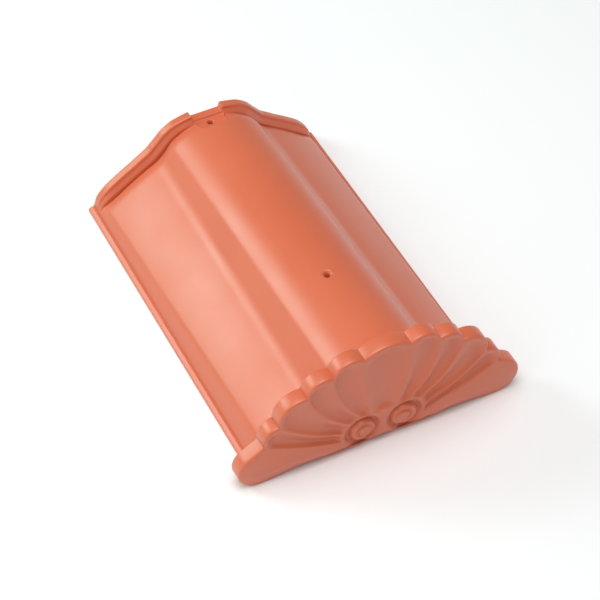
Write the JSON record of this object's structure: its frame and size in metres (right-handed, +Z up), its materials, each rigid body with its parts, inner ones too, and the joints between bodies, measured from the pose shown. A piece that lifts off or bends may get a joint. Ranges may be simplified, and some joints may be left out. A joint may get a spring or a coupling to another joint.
{
  "type": "hip starter tile",
  "caption": "Vaulted hip starter roof tile with foot flanges, a weather rib and nail holes at the head, and a scalloped shell-shaped end plate with volutes closing its eaves end.",
  "frame": {"origin": "centre of the bounding box, on the plane that the feet stand on", "axes": "+Y along the tile from the shell plate at the eaves end to the rib at the head end, +Z up, away from the roof, +X to the right seen from the shell plate"},
  "size_m": [0.298, 0.3852, 0.1316],
  "materials": {
    "clay": "fired clay with a satin terracotta engobe"
  },
  "bodies": {
    "root": {"hip_starter_tile": "clay"}
  },
  "joints": []
}
